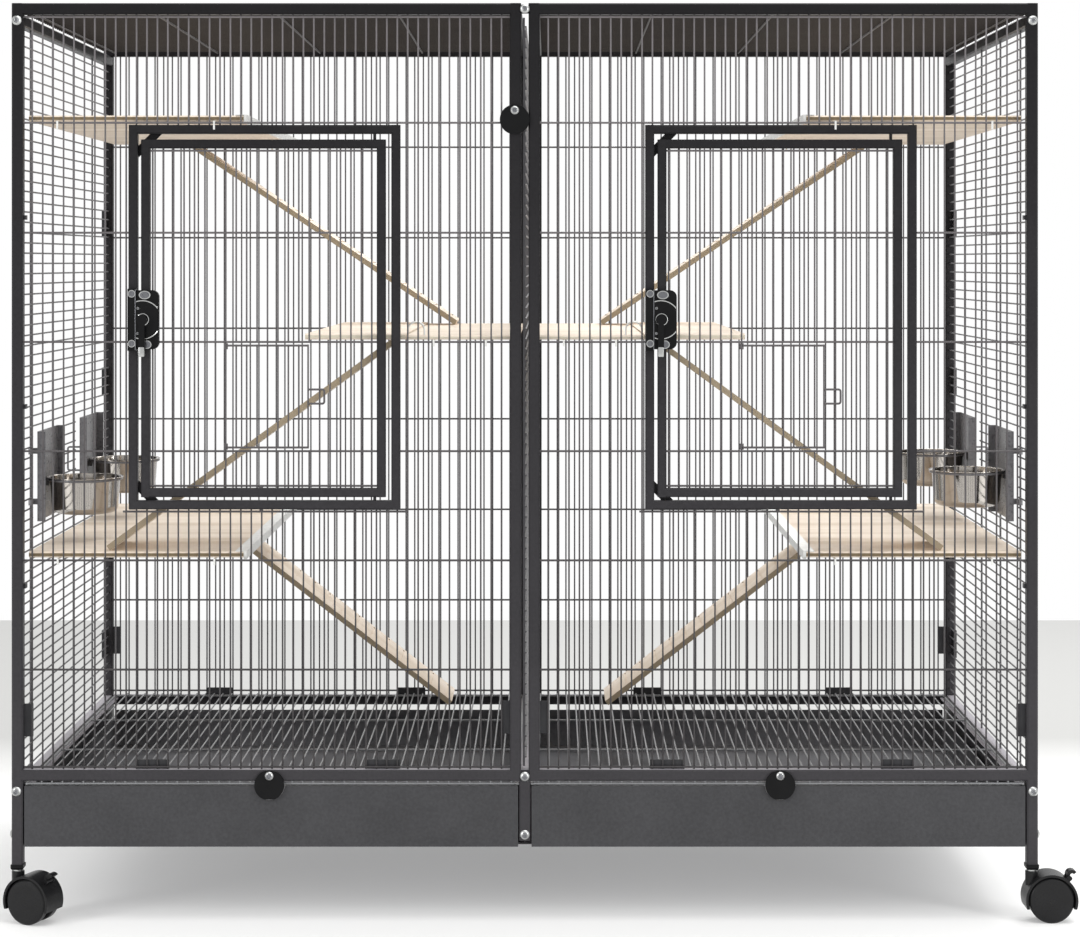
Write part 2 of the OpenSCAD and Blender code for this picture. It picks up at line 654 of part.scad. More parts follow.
// Half section of a round dish with a rounded lower edge
module bowl_half(r_top, r_low, round_r, h) {
  square([r_low - round_r, h]);
  translate([r_low - round_r, round_r]) intersection() {
    circle(round_r, $fn = 48);
    translate([0, -round_r]) square(round_r);
  }
  polygon([[0, round_r], [r_low, round_r], [r_top, h], [0, h]]);
}

// ---------- trays, grids and discs ----------

// Sheet metal tray: front with a finger notch, side and back walls, floor
module tray(side) color(STEEL) on_side(side) {
  x0 = tray_x[0];
  x1 = tray_x[1];
  front = -y_out + 1;
  floor_z = tray_z + 2.4;
  body = [x0 + 2, x1 - 4];
  difference() {
    union() {
      block([x0, front, tray_z], [x1, front + sheet, tray_top]);
      block([x0, front, tray_z], [x1, front + 12, tray_z + sheet]);
      block([x0, front, tray_top - sheet], [x1, front + 12, tray_top]);
      block([x0, front, tray_z], [x0 + sheet, front + 12, tray_top]);
      block([x1 - sheet, front, tray_z], [x1, front + 12, tray_top]);
    }
    translate([tray_disc_x, front - 1, disc_z]) rotate([-90, 0, 0]) cylinder(h = 14 + 1, r = notch_r, $fn = 64);
  }
  difference() {
    block([body[0], front + sheet / 2, floor_z], [body[1], y_in - 3, tray_wall]);
    block([body[0] + sheet, front + 2 * sheet, floor_z + sheet], [body[1] - sheet, y_in - 3 - sheet, tray_wall + 1]);
  }
}

// Floor grid: border wire, front-to-back wires and cross wires
module floor_grid(side) color(WIRE) on_side(side) {
  x0 = x_slot + 3;
  x1 = x_in - 3;
  y1 = y_in - 2;
  y0 = -y_out + 4;
  z = grid_z + grid_r;
  n = floor((x1 - x0 - 8) / pitch);
  for (x = [x0 + grid_r, x1 - grid_r]) wire_y(x, y0, y1, z, grid_r);
  for (y = [y0 + grid_r, -110, 110, y1 - grid_r]) wire_x(x0 + 2 * grid_r + air, x1 - 2 * grid_r - air, y, z, grid_r);
  for (k = [0 : n - 1]) wire_y(x0 + 10 + k * pitch, y0, y1, z + grid_r + wire_r + air, wire_r);
}

// Disc that turns on an off-centre screw, hanging down over what it locks
module disc(x, z) color(BLACK) translate([x, -y_out - 0.3, z]) rotate([90, 0, 0]) {
  difference() {
    cylinder(h = disc_t, r = disc_r, $fn = 64);
    translate([-disc_r, -disc_r - 1, -1]) cube([2 * disc_r, 2.2, disc_t + 2]);
    translate([0, disc_pivot, -1]) cylinder(h = disc_t + 2, r = pivot_r + fit, $fn = 32);
  }
}

// ---------- casters ----------

// Leg positions: x, y and the direction in which the caster trails
casters = [[-1, -1, -caster_yaw], [1, -1, 0], [-1, 1, 180], [1, 1, 180 - caster_yaw]];
module at_caster(i) translate([casters[i][0] * (x_out - tube / 2), casters[i][1] * y_mid, 0])
  rotate([0, 0, casters[i][2]]) children();

// Caster body: hood over both wheels, middle web, swivel boss and axle
module caster(i, brake) color(BLACK) at_caster(i) {
  inner = hood_r - hood_t;
  difference() {
    union() {
      translate([caster_trail, hood_w / 2, wheel_r]) rotate([90, 0, 0]) linear_extrude(hood_w) difference() {
        circle(hood_r, $fn = 96);
        circle(inner, $fn = 96);
        translate([-hood_r - 1, -hood_r - hood_drop + 9]) square([2 * hood_r + 2, hood_r]);
      }
      translate([caster_trail, wheel_in - 0.6, wheel_r]) rotate([90, 0, 0]) linear_extrude(2 * wheel_in - 1.2) difference() {
        circle(inner + 0.5, $fn = 96);
        translate([-hood_r - 1, -hood_r - hood_drop + 9]) square([2 * hood_r + 2, hood_r]);
      }
      difference() {
        translate([0, 0, wheel_r + 18]) cylinder(h = boss_z - wheel_r - 18, r = 8.5, $fn = 48);
        translate([caster_trail, 20, wheel_r]) rotate([90, 0, 0]) cylinder(h = 40, r = inner + 0.1, $fn = 96);
      }
      if (brake) brake_ears();
    }
    translate([0, 0, boss_z - 12]) cylinder(h = 13, r = stem_r + fit, $fn = 48);
  }
  translate([caster_trail, wheel_out, wheel_r]) rotate([90, 0, 0]) cylinder(h = 2 * wheel_out, r = axle_r, $fn = 48);
}

// Ears and pin that carry the brake lever
module brake_ears() translate([caster_trail + brake_at[0], 0, wheel_r + brake_at[1]]) {
  for (s = [-1, 1]) translate([0, s * 8.5 + 1.25, 0]) rotate([90, 0, 0]) linear_extrude(2.5) {
    circle(3.2, $fn = 32);
    rotate(45) translate([-7, -2.9]) square([7, 5.8]);
  }
  rotate([90, 0, 0]) cylinder(h = 17, r = 1.5, center = true, $fn = 32);
}

// Twin wheels with a shallow dished face
module wheels(i) color(BLACK) at_caster(i) translate([caster_trail, 0, wheel_r]) for (s = [-1, 1])
  rotate([s * 90, 0, 0]) rotate_extrude($fn = 96) {
    e = 2;
    polygon([[axle_r + fit, wheel_in], [wheel_r - e, wheel_in], [wheel_r, wheel_in + e], [wheel_r, wheel_out - e],
      [wheel_r - e, wheel_out - 0.4], [wheel_r - 7, wheel_out], [axle_r + fit, wheel_out]]);
  }

// Brake lever: a curled tab on its pin
module brake(i) color(BLACK) at_caster(i)
  translate([caster_trail + brake_at[0], 6.5, wheel_r + brake_at[1]]) rotate([90, 0, 0]) linear_extrude(13) difference() {
    union() {
      circle(2.6, $fn = 32);
      translate([-2.4, 0]) square([3.2, 3.2]);
      translate([3.8, 3]) intersection() {
        difference() {
          circle(7.5, $fn = 48);
          circle(3, $fn = 48);
        }
        polygon([[0, 0], [12, 10], [12, 14], [-12, 14], [-12, 0]]);
      }
    }
    circle(1.5 + fit, $fn = 32);
  }

// Plugs with bevelled collars in the leg ends, with the swivel stems
module leg_plugs() color(BLACK) for (x = [-1, 1]) for (y = [-1, 1]) translate([x * (x_out - tube / 2), y * y_mid, 0]) {
  collar = tube + 2;
  foot = 69;
  intersection_for(turn = [0, 90]) rotate([90, 0, turn]) linear_extrude(collar, center = true)
    polygon([[-collar / 2, leg_z], [-collar / 2, foot + 2.5], [1.5 - collar / 2, foot],
      [collar / 2 - 1.5, foot], [collar / 2, foot + 2.5], [collar / 2, leg_z]]);
  translate([0, 0, boss_z - 10]) cylinder(h = foot - boss_z + 10.5, r = stem_r, $fn = 48);
}

// ---------- small parts ----------

// Plastic clips that hold the wire panels: on the rails and the front posts behind the wires,
// and at the back posts outside the side walls
module panel_clips() color(BLACK) both_sides() {
  long = 44;
  wide = 12;
  thick = 2.5;
  slack = 0.1;
  near = -dense_y + wire_r + slack;
  outer = side_cross_x + cross_r + slack;
  block([x_in - slack - wide, near, 268 - long / 2], [x_in - slack, near + thick, 268 + long / 2]);
  for (z = [268, 691, 945])
    block([outer, y_in - slack - wide, z - long / 2], [outer + 2 * thick, y_in - slack, z + long / 2]);
  for (z = [448, 689, 943]) block([x_in - slack - thick, -y_in - 8, z - 3], [x_in - slack, -y_in + 3, z + 3]);
  for (x = [190, 500]) {
    block([x - long / 2, near, z_rail + slack], [x + long / 2, near + thick, z_rail + slack + wide]);
    mirror([0, 1, 0]) block([x - long / 2, near, z_back + slack], [x + long / 2, near + thick, z_back + slack + wide]);
  }
}

// Pan head screw facing -Y
module screw_head() rotate([90, 0, 0]) difference() {
  intersection() {
    translate([0, 0, -4.5]) sphere(8, $fn = 48);
    cylinder(h = 4, r = 6.5, $fn = 48);
  }
  translate([0, 0, 2]) cylinder(h = 3, r = 2.4, $fn = 6);
}

// Screws of the frame's corners and joints, front and back, of the legs and of the discs
module screws() color(ZINC) {
  leg_screw_z = 116;
  for (turn = [0, 180]) rotate([0, 0, turn]) for (p = [[-680.5, 1207], [680.5, 1207], [0, cage_h - tube / 2],
    [-681, 174], [681, 174], [0, 194], [0, tray_z + 16]])
    translate([p[0], -y_out, p[1]]) screw_head();
  for (side = [-1, 1]) for (y = [-y_mid, y_mid])
    translate([side * x_out, y, leg_screw_z]) rotate([0, 0, side * 90]) screw_head();
  for (p = [[-tray_disc_x, disc_z], [tray_disc_x, disc_z], slot_disc])
    translate([p[0], -y_out, p[1] + disc_pivot]) {
      rotate([90, 0, 0]) cylinder(h = disc_t + 0.8, r = pivot_r, $fn = 32);
      translate([0, -disc_t - 0.5, 0]) scale(0.88) screw_head();
    }
}

front_frame(-1);  // front_frame_left
front_frame(1);  // front_frame_right
side_frame(-1);  // side_frame_left
side_frame(1);  // side_frame_right
back_frame();
roof_frame();
base_frame();
front_mesh(-1);  // front_mesh_left
front_mesh(1);  // front_mesh_right
side_mesh(-1);  // side_mesh_left
side_mesh(1);  // side_mesh_right
back_mesh();
roof_mesh();
partition();
door_frame(-1);  // door_frame_left
door_frame(1);  // door_frame_right
door_mesh(-1);  // door_mesh_left
door_mesh(1);  // door_mesh_right
hatch(-1);  // hatch_left
hatch(1);  // hatch_right
lock_case(-1);  // lock_case_left
lock_case(1);  // lock_case_right
lock_lever(-1);  // lock_lever_left
lock_lever(1);  // lock_lever_right
lock_strikes();
tray(-1);  // tray_left
tray(1);  // tray_right
floor_grid(-1);  // floor_grid_left
floor_grid(1);  // floor_grid_right
disc(-tray_disc_x, disc_z);  // tray_disc_left
disc(tray_disc_x, disc_z);  // tray_disc_right
disc(slot_disc[0], slot_disc[1]);  // partition_disc
feeder(-1, 0);  // feeder_left_front
feeder(-1, 1);  // feeder_left_back
feeder(1, 0);  // feeder_right_front
feeder(1, 1);  // feeder_right_back
bowl(-1, 0);  // bowl_left_front
bowl(-1, 1);  // bowl_left_back
bowl(1, 0);  // bowl_right_front
bowl(1, 1);  // bowl_right_back
shelf_pair(upper_z);  // shelves_upper
shelves_middle();
shelf_pair(lower_z);  // shelves_lower
ramps_upper();
ramps_middle();
ramps_lower();
shelf_fittings();
caster(0, true);  // caster_front_left
caster(1, true);  // caster_front_right
caster(2, false);  // caster_back_left
caster(3, false);  // caster_back_right
wheels(0);  // wheels_front_left
wheels(1);  // wheels_front_right
wheels(2);  // wheels_back_left
wheels(3);  // wheels_back_right
brake(0);  // brake_front_left
brake(1);  // brake_front_right
leg_plugs();
panel_clips();
screws();
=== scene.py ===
import math

import bmesh
import bpy
from bpy.props import FloatProperty, FloatVectorProperty, PointerProperty
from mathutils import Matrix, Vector


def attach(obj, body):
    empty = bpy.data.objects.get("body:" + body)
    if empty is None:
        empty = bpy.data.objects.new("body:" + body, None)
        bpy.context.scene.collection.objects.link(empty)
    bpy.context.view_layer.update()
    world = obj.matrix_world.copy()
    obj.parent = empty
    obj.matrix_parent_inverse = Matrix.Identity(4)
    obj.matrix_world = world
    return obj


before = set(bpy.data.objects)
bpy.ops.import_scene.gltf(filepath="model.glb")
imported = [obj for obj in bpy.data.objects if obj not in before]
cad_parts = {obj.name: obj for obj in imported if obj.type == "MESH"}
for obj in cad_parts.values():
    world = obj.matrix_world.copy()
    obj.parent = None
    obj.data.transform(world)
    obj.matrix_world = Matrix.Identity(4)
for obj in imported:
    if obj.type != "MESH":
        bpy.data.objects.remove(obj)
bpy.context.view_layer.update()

bl_info = {
    "name": "Ferret cage dressing",
    "version": (1, 0, 0),
    "blender": (4, 5, 0),
    "location": "3D View > Sidebar > Cage",
    "description": "Finishes, lock trim and studio for a double cage on casters",
    "category": "Object",
}

SIDES = {"left": -1, "right": 1}                     # sign of X on each side
SMOOTH_ANGLE = math.radians(35)                      # edges sharper than this stay sharp
RAMP_SLOPE = 0.62                                    # rise of the ramps in radians

# Places in metres, in the CAD's frame
FLOOR_DROP = -0.0002                                 # keeps the floor just clear of the wheels
FRONT = -0.336                                       # front plane of the frame
SPINDLES = {"left": -0.5107, "right": 0.1818}        # X of the locks' spindles
LOCK_Z = 0.806                                       # height of the locks' spindles
STRIKE_FACE, CASE_FACE, CASE_STEP = -0.3435, -0.3415, -0.3443    # strike, flat and raised part of the case
HEAD_FACE, PIVOT_FACE = 0.3391, -0.3422              # screw heads, and the heads on the discs
SCREWS = ((0.681, 0.174), (0.6805, 1.207), (-0.681, 0.174), (-0.6805, 1.207),
          (0, 0.116), (0, 0.194), (0, 1.2225))
DISC_SCREWS = ((0.342, 0.1955), (-0.342, 0.1955), (-0.0135, 1.0865))
STEM_X, STEM_Y, COLLAR_Z = 0.68, 0.3285, 0.0678      # caster stems and the foot of the leg plugs on them
TRAY_X, TRAY_W, TRAY_BACK, HEM_Z = 0.33875, 0.6555, 0.318, 0.1554    # the trays' back walls and their hems
CLIP_Z = 0.272                                       # middle of the clips beside the posts
CLIP_PLACES = (("middle", 0.02615, -0.3263), ("corner", 0.6663, 0.3263))

SENSOR_WIDTH = 36                                    # millimetres
CAMERA_SHIFT = (-0.01006, -0.19126)                  # from the middle of the picture to the vanishing point

# The CAD nodes that each finish is put on
FINISH_OF = {
    "powder_coated_tube": ["front_frame_left", "front_frame_right", "side_frame_left", "side_frame_right",
                           "back_frame", "roof_frame", "base_frame", "door_frame_left", "door_frame_right"],
    "powder_coated_wire": ["front_mesh_left", "front_mesh_right", "door_mesh_left", "door_mesh_right",
                           "hatch_left", "hatch_right"],
    "painted_backlight_wire": ["side_mesh_left", "side_mesh_right", "back_mesh", "partition"],
    "painted_shade_roof_coat": ["roof_mesh"],
    "coated_grid_wire": ["floor_grid_left", "floor_grid_right"],
    "powder_coated_sheet": ["tray_left", "tray_right"],
    "feeder_sheet": ["feeder_left_front", "feeder_left_back", "feeder_right_front", "feeder_right_back"],
    "spun_stainless": ["bowl_left_front", "bowl_left_back", "bowl_right_front", "bowl_right_back"],
    "poplar_board": ["shelves_upper", "shelves_lower"],
    "poplar_board_middle": ["shelves_middle"],
    "ramp_board_back": ["ramps_upper", "ramps_lower"],
    "ramp_board_front": ["ramps_middle"],
    "bright_zinc": ["screws"],
    "white_zinc": ["shelf_fittings"],
    "moulded_nylon": ["lock_case_left", "lock_case_right", "lock_lever_left", "lock_lever_right",
                      "lock_strikes", "tray_disc_left", "tray_disc_right", "partition_disc", "leg_plugs"],
    "clip_plastic": ["panel_clips"],
    "caster_plastic": ["caster_front_left", "caster_front_right", "caster_back_left", "caster_back_right",
                       "wheels_front_left", "wheels_front_right", "wheels_back_left", "wheels_back_right",
                       "brake_front_left", "brake_front_right"],
}


def linear(code):
    """An sRGB hex colour as the linear colour that shaders take, with full alpha."""
    parts = [int(code[i:i + 2], 16) / 255 for i in (1, 3, 5)]
    return tuple(c / 12.92 if c <= 0.04045 else ((c + 0.055) / 1.055) ** 2.4 for c in parts) + (1.0,)


def tint(name, code, description):
    """A colour that a user can change."""
    return FloatVectorProperty(name=name, description=description, default=linear(code), size=4,
                               min=0, max=1, subtype="COLOR")


def length(name, metres, description):
    """A length that a user can change."""
    return FloatProperty(name=name, description=description, default=metres, unit="LENGTH", precision=4)


class CageFinishes(bpy.types.PropertyGroup):
    """Colours and pattern sizes of the cage's finishes"""
    tube: tint("Tube", "#2e2d2f", "Powder coat of the square tubes")
    wire: tint("Wire", "#302e2f", "Powder coat of the front wires")
    # A lighter copy of the wire coat: painted light on the side and back wires, which stand in the light from
    # behind.
    painted_backlight_tint: tint("Back wire", "#4b4a4d", "Powder coat of the wires that stand in the light from behind")
    # Lighter than the other wires: partly the grids' own coat and partly a painted highlight on the wires'
    # lit top sides.
    grid: tint("Floor wire", "#7f8082", "Coat of the floor grids")
    # A darker, browner copy of the wire coat: painted shade on the roof's wires, whose undersides are in
    # shade.
    shaded_roof_tint: tint("Roof wire", "#2a2624", "Powder coat of the roof's wires")
    sheet: tint("Sheet", "#3d3d3f", "Powder coat of the trays")
    plate: tint("Feeder plate", "#5f5e61", "Coat of the feeding hatches")
    steel: tint("Bowl", "#aca7a1", "Polished stainless steel")
    zinc: tint("Zinc", "#b4b5b4", "Bright zinc of screws and lock trim")
    white_zinc: tint("White zinc", "#e3e3e0", "Zinc of the shelves' edge profiles and loops")
    dull_zinc: tint("Dull zinc", "#77787c", "Blackened zinc of the lock screws")
    nylon: tint("Nylon", "#0d0d0e", "Moulded lock parts and discs")
    clip: tint("Clip", "#303032", "Moulded panel clips")
    caster: tint("Caster", "#161617", "Moulded casters")
    board: tint("Board", "#f0e4d6", "Faces of the shelves and ramps")
    board_dark: tint("Board grain", "#d8c8b4", "Darker grain lines of the boards")
    # Darker than the middle shelf's edges: partly the sawn end grain's own tone and partly painted shade on
    # these shelves' edges.
    shelf_edge_and_shade: tint("Board edge", "#776850", "Sawn edges of the upper and lower shelves")
    middle_edge: tint("Middle edge", "#cfc7b4", "Sawn edges of the middle shelf")
    ramp_edge: tint("Ramp edge", "#968872", "Sawn edges of the ramps")
    # The real patterns are finer than the photograph can hold: dimples of about 1 mm, pores of 0.5 mm,
    # turning lines of 0.2 mm, a mould grain of 0.1 mm and plating streaks of 0.2 mm. All are drawn coarser,
    # so that they still show.
    hammer: length("Hammer cell", 0.003, "Size of the dimples in the powder coat")
    grain: length("Grain", 0.004, "Width of the boards' grain lines")
    spin: length("Spin line", 0.0008, "Distance between the bowls' turning lines")
    grit: length("Mould grain", 0.0009, "Size of the grain in the moulded plastics")
    streak: length("Plating streak", 0.001, "Width of the streaks in zinc")


class CageStudio(bpy.types.PropertyGroup):
    """Camera, floor and lights"""
    camera_distance: length("Camera distance", 3.1939, "From the front plane of the frame to the lens")
    camera_height: length("Camera height", 0.8833, "Height of the lens over the floor")
    camera_side: length("Camera side", 0.0349, "Lens to the right of the middle")
    lens: FloatProperty(name="Lens", description="Focal length", default=79.506, unit="CAMERA")
    floor_back: length("Floor back", 2.35, "How far the pale floor reaches behind the cage")
    floor_front: length("Floor front", 6.0, "How far the pale floor reaches before the cage")
    floor_width: length("Floor width", 10.0, "Width of the pale floor")
    floor_near: tint("Near floor", "#d4d4d3", "Paint of the floor under and before the cage")
    floor_far: tint("Far floor", "#929290", "Paint of the floor behind the cage")
    # Floor glow makes the floor glow: painted light that lifts the shadow under the cage.
    floor_glow: FloatProperty(name="Floor glow",
                              description="Light that a glossy white studio floor adds in the shadow",
                              default=0.26)
    world: FloatProperty(name="Fill", description="Brightness of the light from all round", default=0.95)
    top: FloatProperty(name="Top light", description="Power of the light over the cage",
                       default=60, unit="POWER")
    back: FloatProperty(name="Back light", description="Power of the light over the back",
                        default=60, unit="POWER")
    side: FloatProperty(name="Side lights", description="Power of each upright light",
                        default=35, unit="POWER")


def put(tree, kind, inputs=None, **settings):
    """Adds a node with its settings; inputs maps sockets to values or to the sockets that feed them. A
    colour mix has its factor and its two colours on sockets 0, 6 and 7, and its result on output 2."""
    node = tree.nodes.new(kind)
    for name, value in settings.items():
        setattr(node, name, value)
    for name, value in (inputs or {}).items():
        if isinstance(value, bpy.types.NodeSocket):
            tree.links.new(value, node.inputs[name])
        else:
            node.inputs[name].default_value = value
    return node


def new_finish(name):
    """An empty material with its shader and the object coordinates that its patterns read."""
    material = bpy.data.materials.new(name)
    material.use_nodes = True
    tree = material.node_tree
    shader = tree.nodes["Principled BSDF"]
    place = put(tree, "ShaderNodeTexCoord").outputs["Object"]
    return material, tree, shader, place


def wire_up(tree, shader, **links):
    """Links sockets to the shader's inputs of those names."""
    for name, socket in links.items():
        tree.links.new(socket, shader.inputs[name.replace("_", " ")])


def rail_top_highlight(tree, split, tone):
    """Lightens the tops of the lowest rails: a painted highlight, where their top faces catch the light at a
    grazing angle.
    """
    facing = put(tree, "ShaderNodeSeparateXYZ",
                 {"Vector": put(tree, "ShaderNodeNewGeometry").outputs["Normal"]})
    upward = put(tree, "ShaderNodeMapRange", {"Value": facing.outputs["Z"],
                                              "From Min": 0.8, "From Max": 0.95})
    low = put(tree, "ShaderNodeMapRange", {"Value": split.outputs["Z"], "From Min": 0.206, "From Max": 0.204,
                                           "To Max": 8.0})
    painted_highlight = put(tree, "ShaderNodeMath", {0: upward.outputs["Result"], 1: low.outputs["Result"], 2: 1.0},
               operation="MULTIPLY_ADD")
    return put(tree, "ShaderNodeMath", {0: tone.outputs[0], 1: painted_highlight.outputs[0]}, operation="MULTIPLY")


def tray_painted_light(tree, split, tone):
    """Lightens the inside of the tray, most on its floor: painted light, standing in for the light from above
    that reaches into the tray.
    """
    inside = put(tree, "ShaderNodeMapRange", {"Value": split.outputs["Y"],
                                              "From Min": -0.331, "From Max": -0.329})
    low = put(tree, "ShaderNodeMapRange", {"Value": split.outputs["Z"], "From Min": 0.148, "From Max": 0.1,
                                           "To Min": 0.8, "To Max": 2.6})
    painted_light = put(tree, "ShaderNodeMath", {0: inside.outputs["Result"], 1: low.outputs["Result"], 2: 1.0},
               operation="MULTIPLY_ADD")
    return put(tree, "ShaderNodeMath", {0: tone.outputs[0], 1: painted_light.outputs[0]}, operation="MULTIPLY")


def powder_coat(name, colour, cell, bump, rough, specular, mottling=0.12, low=1.0, high=1.0, painted_light=None):
    """Polyester powder sprayed on steel and baked. It flows into soft dimples, so a light spreads into a
    broken sheen, and its tone and gloss drift a little. Low and high scale the tone at the foot and at the
    roof: painted light and shade, for the light that falls there. Painted light, when it is given,
    lightens the tone further on the faces where it paints light."""
    material, tree, shader, place = new_finish(name)
    dimples = put(tree, "ShaderNodeTexVoronoi", {"Vector": place, "Scale": 1 / cell, "Smoothness": 0.6},
                  feature="SMOOTH_F1")
    drift = put(tree, "ShaderNodeTexNoise", {"Vector": place, "Scale": 1 / 0.09,
                                             "Detail": 4, "Roughness": 0.6})
    specks = put(tree, "ShaderNodeTexNoise", {"Vector": place, "Scale": 1 / (1.4 * cell), "Detail": 2})
    tone = put(tree, "ShaderNodeMath", {0: drift.outputs["Fac"], 1: specks.outputs["Fac"]}, operation="ADD")
    shade = put(tree, "ShaderNodeMapRange", {"Value": tone.outputs[0], "From Min": 0.7, "From Max": 1.3,
                                             "To Min": 1 - mottling, "To Max": 1 + mottling})
    split = put(tree, "ShaderNodeSeparateXYZ", {"Vector": place})
    # Painted light and shade: the tone runs from low at the foot to high at the roof.
    height = put(tree, "ShaderNodeMapRange", {"Value": split.outputs["Z"], "From Min": 0.15, "From Max": 1.2,
                                              "To Min": low, "To Max": high})
    lit = put(tree, "ShaderNodeMath", {0: shade.outputs["Result"], 1: height.outputs["Result"]},
              operation="MULTIPLY")
    if painted_light:
        lit = painted_light(tree, split, lit)
    paint = put(tree, "ShaderNodeVectorMath", {0: colour[:3], "Scale": lit.outputs[0]}, operation="SCALE")
    gloss = put(tree, "ShaderNodeMapRange", {"Value": specks.outputs["Fac"], "From Min": 0.3, "From Max": 0.7,
                                             "To Min": rough - 0.05, "To Max": rough + 0.08})
    relief = put(tree, "ShaderNodeBump", {"Height": dimples.outputs["Distance"],
                                          "Strength": 0.5, "Distance": bump})
    shader.inputs["Specular IOR Level"].default_value = specular
    wire_up(tree, shader, Base_Color=paint.outputs[0], Roughness=gloss.outputs["Result"],
            Normal=relief.outputs["Normal"])
    return material


def metal(name, colour, streak, rough, relief_height):
    """Steel drawn or pressed and then zinc plated. The drawing leaves fine upright streaks, which pull each
    highlight into short broken lines."""
    material, tree, shader, place = new_finish(name)
    stretched = put(tree, "ShaderNodeMapping", {"Vector": place, "Scale": (1, 1, 0.1)})
    lines = put(tree, "ShaderNodeTexNoise", {"Vector": stretched.outputs[0], "Scale": 1 / streak,
                                             "Detail": 3})
    cloud = put(tree, "ShaderNodeTexNoise", {"Vector": place, "Scale": 1 / 0.006, "Detail": 2})
    shade = put(tree, "ShaderNodeMapRange", {"Value": cloud.outputs["Fac"], "From Min": 0.3, "From Max": 0.7,
                                             "To Min": 0.9, "To Max": 1.04})
    paint = put(tree, "ShaderNodeVectorMath", {0: colour[:3], "Scale": shade.outputs["Result"]},
                operation="SCALE")
    gloss = put(tree, "ShaderNodeMapRange", {"Value": lines.outputs["Fac"], "From Min": 0.3, "From Max": 0.7,
                                             "To Min": rough - 0.06, "To Max": rough + 0.1})
    relief = put(tree, "ShaderNodeBump", {"Height": lines.outputs["Fac"],
                                          "Strength": 0.4, "Distance": relief_height})
    shader.inputs["Metallic"].default_value = 1.0
    wire_up(tree, shader, Base_Color=paint.outputs[0], Roughness=gloss.outputs["Result"],
            Normal=relief.outputs["Normal"])
    return material


def spun_metal(name, colour, spacing):
    """Stainless steel spun on a lathe and polished. It mirrors boards and wires, and its turning lines
    stretch what it mirrors into upright bands."""
    material, tree, shader, place = new_finish(name)
    split = put(tree, "ShaderNodeSeparateXYZ", {"Vector": place})
    height = put(tree, "ShaderNodeCombineXYZ", {"Z": split.outputs["Z"]})
    lines = put(tree, "ShaderNodeTexNoise", {"Vector": height.outputs[0], "Scale": 1 / spacing, "Detail": 2})
    smear = put(tree, "ShaderNodeTexNoise", {"Vector": place, "Scale": 1 / 0.03, "Detail": 3})
    gloss = put(tree, "ShaderNodeMapRange", {"Value": smear.outputs["Fac"], "From Min": 0.3, "From Max": 0.7,
                                             "To Min": 0.05, "To Max": 0.13})
    relief = put(tree, "ShaderNodeBump", {"Height": lines.outputs["Fac"],
                                          "Strength": 0.25, "Distance": 0.00005})
    shade = put(tree, "ShaderNodeMapRange", {"Value": lines.outputs["Fac"], "To Min": 0.88, "To Max": 1.04})
    paint = put(tree, "ShaderNodeVectorMath", {0: colour[:3], "Scale": shade.outputs["Result"]},
                operation="SCALE")
    shader.inputs["Metallic"].default_value = 1.0
    wire_up(tree, shader, Base_Color=paint.outputs[0], Roughness=gloss.outputs["Result"],
            Normal=relief.outputs["Normal"])
    return material


def moulded(name, colour, grit, rough, specular):
    """Nylon injected into a spark-eroded mould. The mould's grain breaks the surface up, so black looks soft
    grey at the edges and never mirrors."""
    material, tree, shader, place = new_finish(name)
    grit_noise = put(tree, "ShaderNodeTexNoise", {"Vector": place, "Scale": 1 / grit, "Detail": 3})
    cloud = put(tree, "ShaderNodeTexNoise", {"Vector": place, "Scale": 1 / 0.02, "Detail": 3})
    shade = put(tree, "ShaderNodeMapRange", {"Value": cloud.outputs["Fac"], "From Min": 0.3, "From Max": 0.7,
                                             "To Min": 0.85, "To Max": 1.2})
    paint = put(tree, "ShaderNodeVectorMath", {0: colour[:3], "Scale": shade.outputs["Result"]},
                operation="SCALE")
    gloss = put(tree, "ShaderNodeMapRange", {"Value": grit_noise.outputs["Fac"],
                                             "From Min": 0.3, "From Max": 0.7,
                                             "To Min": rough - 0.06, "To Max": rough + 0.08})
    relief = put(tree, "ShaderNodeBump", {"Height": grit_noise.outputs["Fac"],
                                          "Strength": 0.3, "Distance": 0.0002})
    shader.inputs["Specular IOR Level"].default_value = specular
    wire_up(tree, shader, Base_Color=paint.outputs[0], Roughness=gloss.outputs["Result"],
            Normal=relief.outputs["Normal"])
    return material


